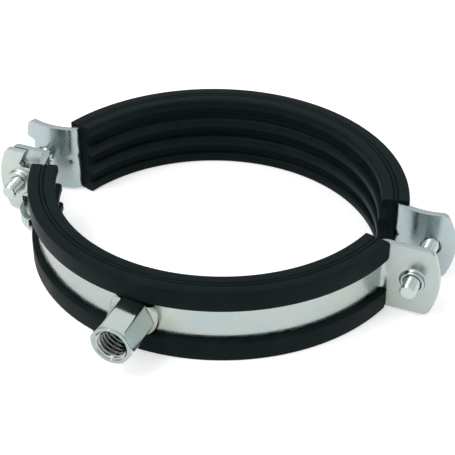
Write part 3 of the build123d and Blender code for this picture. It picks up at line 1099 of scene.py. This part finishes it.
def seen(tree):
    """1 for rays from the camera and for those that metal reflects or glass lets through."""
    path = tree.nodes.new("ShaderNodeLightPath")
    total = path.outputs["Is Camera Ray"]
    for name in ("Is Glossy Ray", "Is Transmission Ray"):
        total = calculated(tree, "MAXIMUM", total, path.outputs[name])
    return total


def floor_material():
    """Pale floor that is lifted to white where it is seen, and keeps the shadow."""
    material, tree = node_tree("floor")
    shader = add(tree, "ShaderNodeBsdfDiffuse")
    shader.inputs["Color"].default_value = (*finishes().floor, 1.0)
    glow = tree.nodes.new("ShaderNodeEmission")
    link(tree, calculated(tree, "MULTIPLY", seen(tree), FLOOR_LIFT), glow.inputs["Strength"])
    both = tree.nodes.new("ShaderNodeAddShader")
    link(tree, shader.outputs[0], both.inputs[0])
    link(tree, glow.outputs[0], both.inputs[1])
    shader_end(tree, both)
    return material


def studio_world():
    """Plain soft light, with a white backdrop that has a grey band above for what is seen."""
    world = bpy.data.worlds.new("studio")
    world.use_nodes = True
    tree = world.node_tree
    tree.nodes.clear()
    direction = tree.nodes.new("ShaderNodeTexCoord").outputs["Generated"]
    height = span(tree, one_axis(tree, direction, "Z"), 0.0, 1.0, -1.0, 1.0)
    backdrop = tree.nodes.new("ShaderNodeBackground")
    link(tree, ramp(tree, height, BACKDROP_TONES), backdrop.inputs["Color"])
    room = add(tree, "ShaderNodeBackground", strength=ROOM_LIGHT)
    room.inputs["Color"].default_value = (1, 1, 1, 1)
    mix = tree.nodes.new("ShaderNodeMixShader")
    link(tree, seen(tree), mix.inputs["Fac"])
    link(tree, room.outputs[0], mix.inputs[1])
    link(tree, backdrop.outputs[0], mix.inputs[2])
    output = tree.nodes.new("ShaderNodeOutputWorld")
    link(tree, mix.outputs[0], output.inputs["Surface"])
    return world


def soft_lamp(lamp):
    """Rectangular lamp that looks at the origin."""
    data = bpy.data.lights.new(lamp.name, "AREA")
    data.shape = "RECTANGLE"
    data.size, data.size_y = lamp.size
    data.energy = lamp.power
    obj = bpy.data.objects.new(lamp.name, data)
    obj.location = lamp.place
    obj.rotation_mode = "QUATERNION"
    obj.rotation_quaternion = (-Vector(lamp.place)).to_track_quat("-Z", "Y")
    bpy.context.scene.collection.objects.link(obj)


def photo_camera():
    """Camera at the photograph's place."""
    data = bpy.data.cameras.new("camera")
    data.sensor_width = SENSOR
    data.lens = LENS
    data.clip_start, data.clip_end = 0.01, 20.0
    obj = bpy.data.objects.new("camera", data)
    back = Vector(CAMERA_BACK).normalized()
    up = back.cross(Vector(CAMERA_RIGHT)).normalized()
    right = up.cross(back).normalized()
    turn = Matrix((right, up, back)).transposed().to_4x4()
    obj.matrix_world = Matrix.Translation(CAMERA_PLACE) @ turn
    bpy.context.scene.collection.objects.link(obj)
    bpy.context.scene.camera = obj


@registered
class CLAMP_OT_stage(bpy.types.Operator):
    """Pale floor, soft light and the camera"""

    bl_idname = "clamp.stage"
    bl_label = "Stage"

    def execute(self, context):
        bm = bmesh.new()
        bmesh.ops.create_grid(bm, x_segments=1, y_segments=1, size=FLOOR_SIZE)
        bmesh.ops.translate(bm, vec=(0, 0, cad_box[0].z), verts=bm.verts)
        mesh = bpy.data.meshes.new("floor")
        bm.to_mesh(mesh)
        bm.free()
        mesh.materials.append(floor_material())
        floor = bpy.data.objects.new("floor", mesh)
        context.scene.collection.objects.link(floor)
        context.scene.world = studio_world()
        for lamp in LAMPS:
            soft_lamp(lamp)
        context.scene.view_settings.view_transform = "Standard"
        photo_camera()
        return {"FINISHED"}


STEPS = (
    "front_band",
    "rear_band",
    "liners",
    "connection_nut",
    "nut_plate",
    "screws",
    "stage",
)


@registered
class CLAMP_PT_panel(bpy.types.Panel):
    """Buttons and sizes of the pipe clamp"""

    bl_idname = "CLAMP_PT_panel"
    bl_label = "Pipe clamp"
    bl_space_type = "VIEW_3D"
    bl_region_type = "UI"
    bl_category = "Pipe clamp"

    def draw(self, context):
        for step in STEPS:
            self.layout.operator("clamp." + step)
        for group in (context.scene.clamp_sizes, context.scene.clamp_finishes):
            for name in group.__annotations__:
                self.layout.prop(group, name)


def register():
    for cls in CLASSES:
        bpy.utils.register_class(cls)
    bpy.types.Scene.clamp_sizes = bpy.props.PointerProperty(type=ClampSizes)
    bpy.types.Scene.clamp_finishes = bpy.props.PointerProperty(type=ClampFinishes)


def unregister():
    del bpy.types.Scene.clamp_finishes
    del bpy.types.Scene.clamp_sizes
    for cls in reversed(CLASSES):
        bpy.utils.unregister_class(cls)


def main():
    register()
    for step in STEPS:
        getattr(bpy.ops.clamp, step)()


if __name__ == "__main__":
    main()
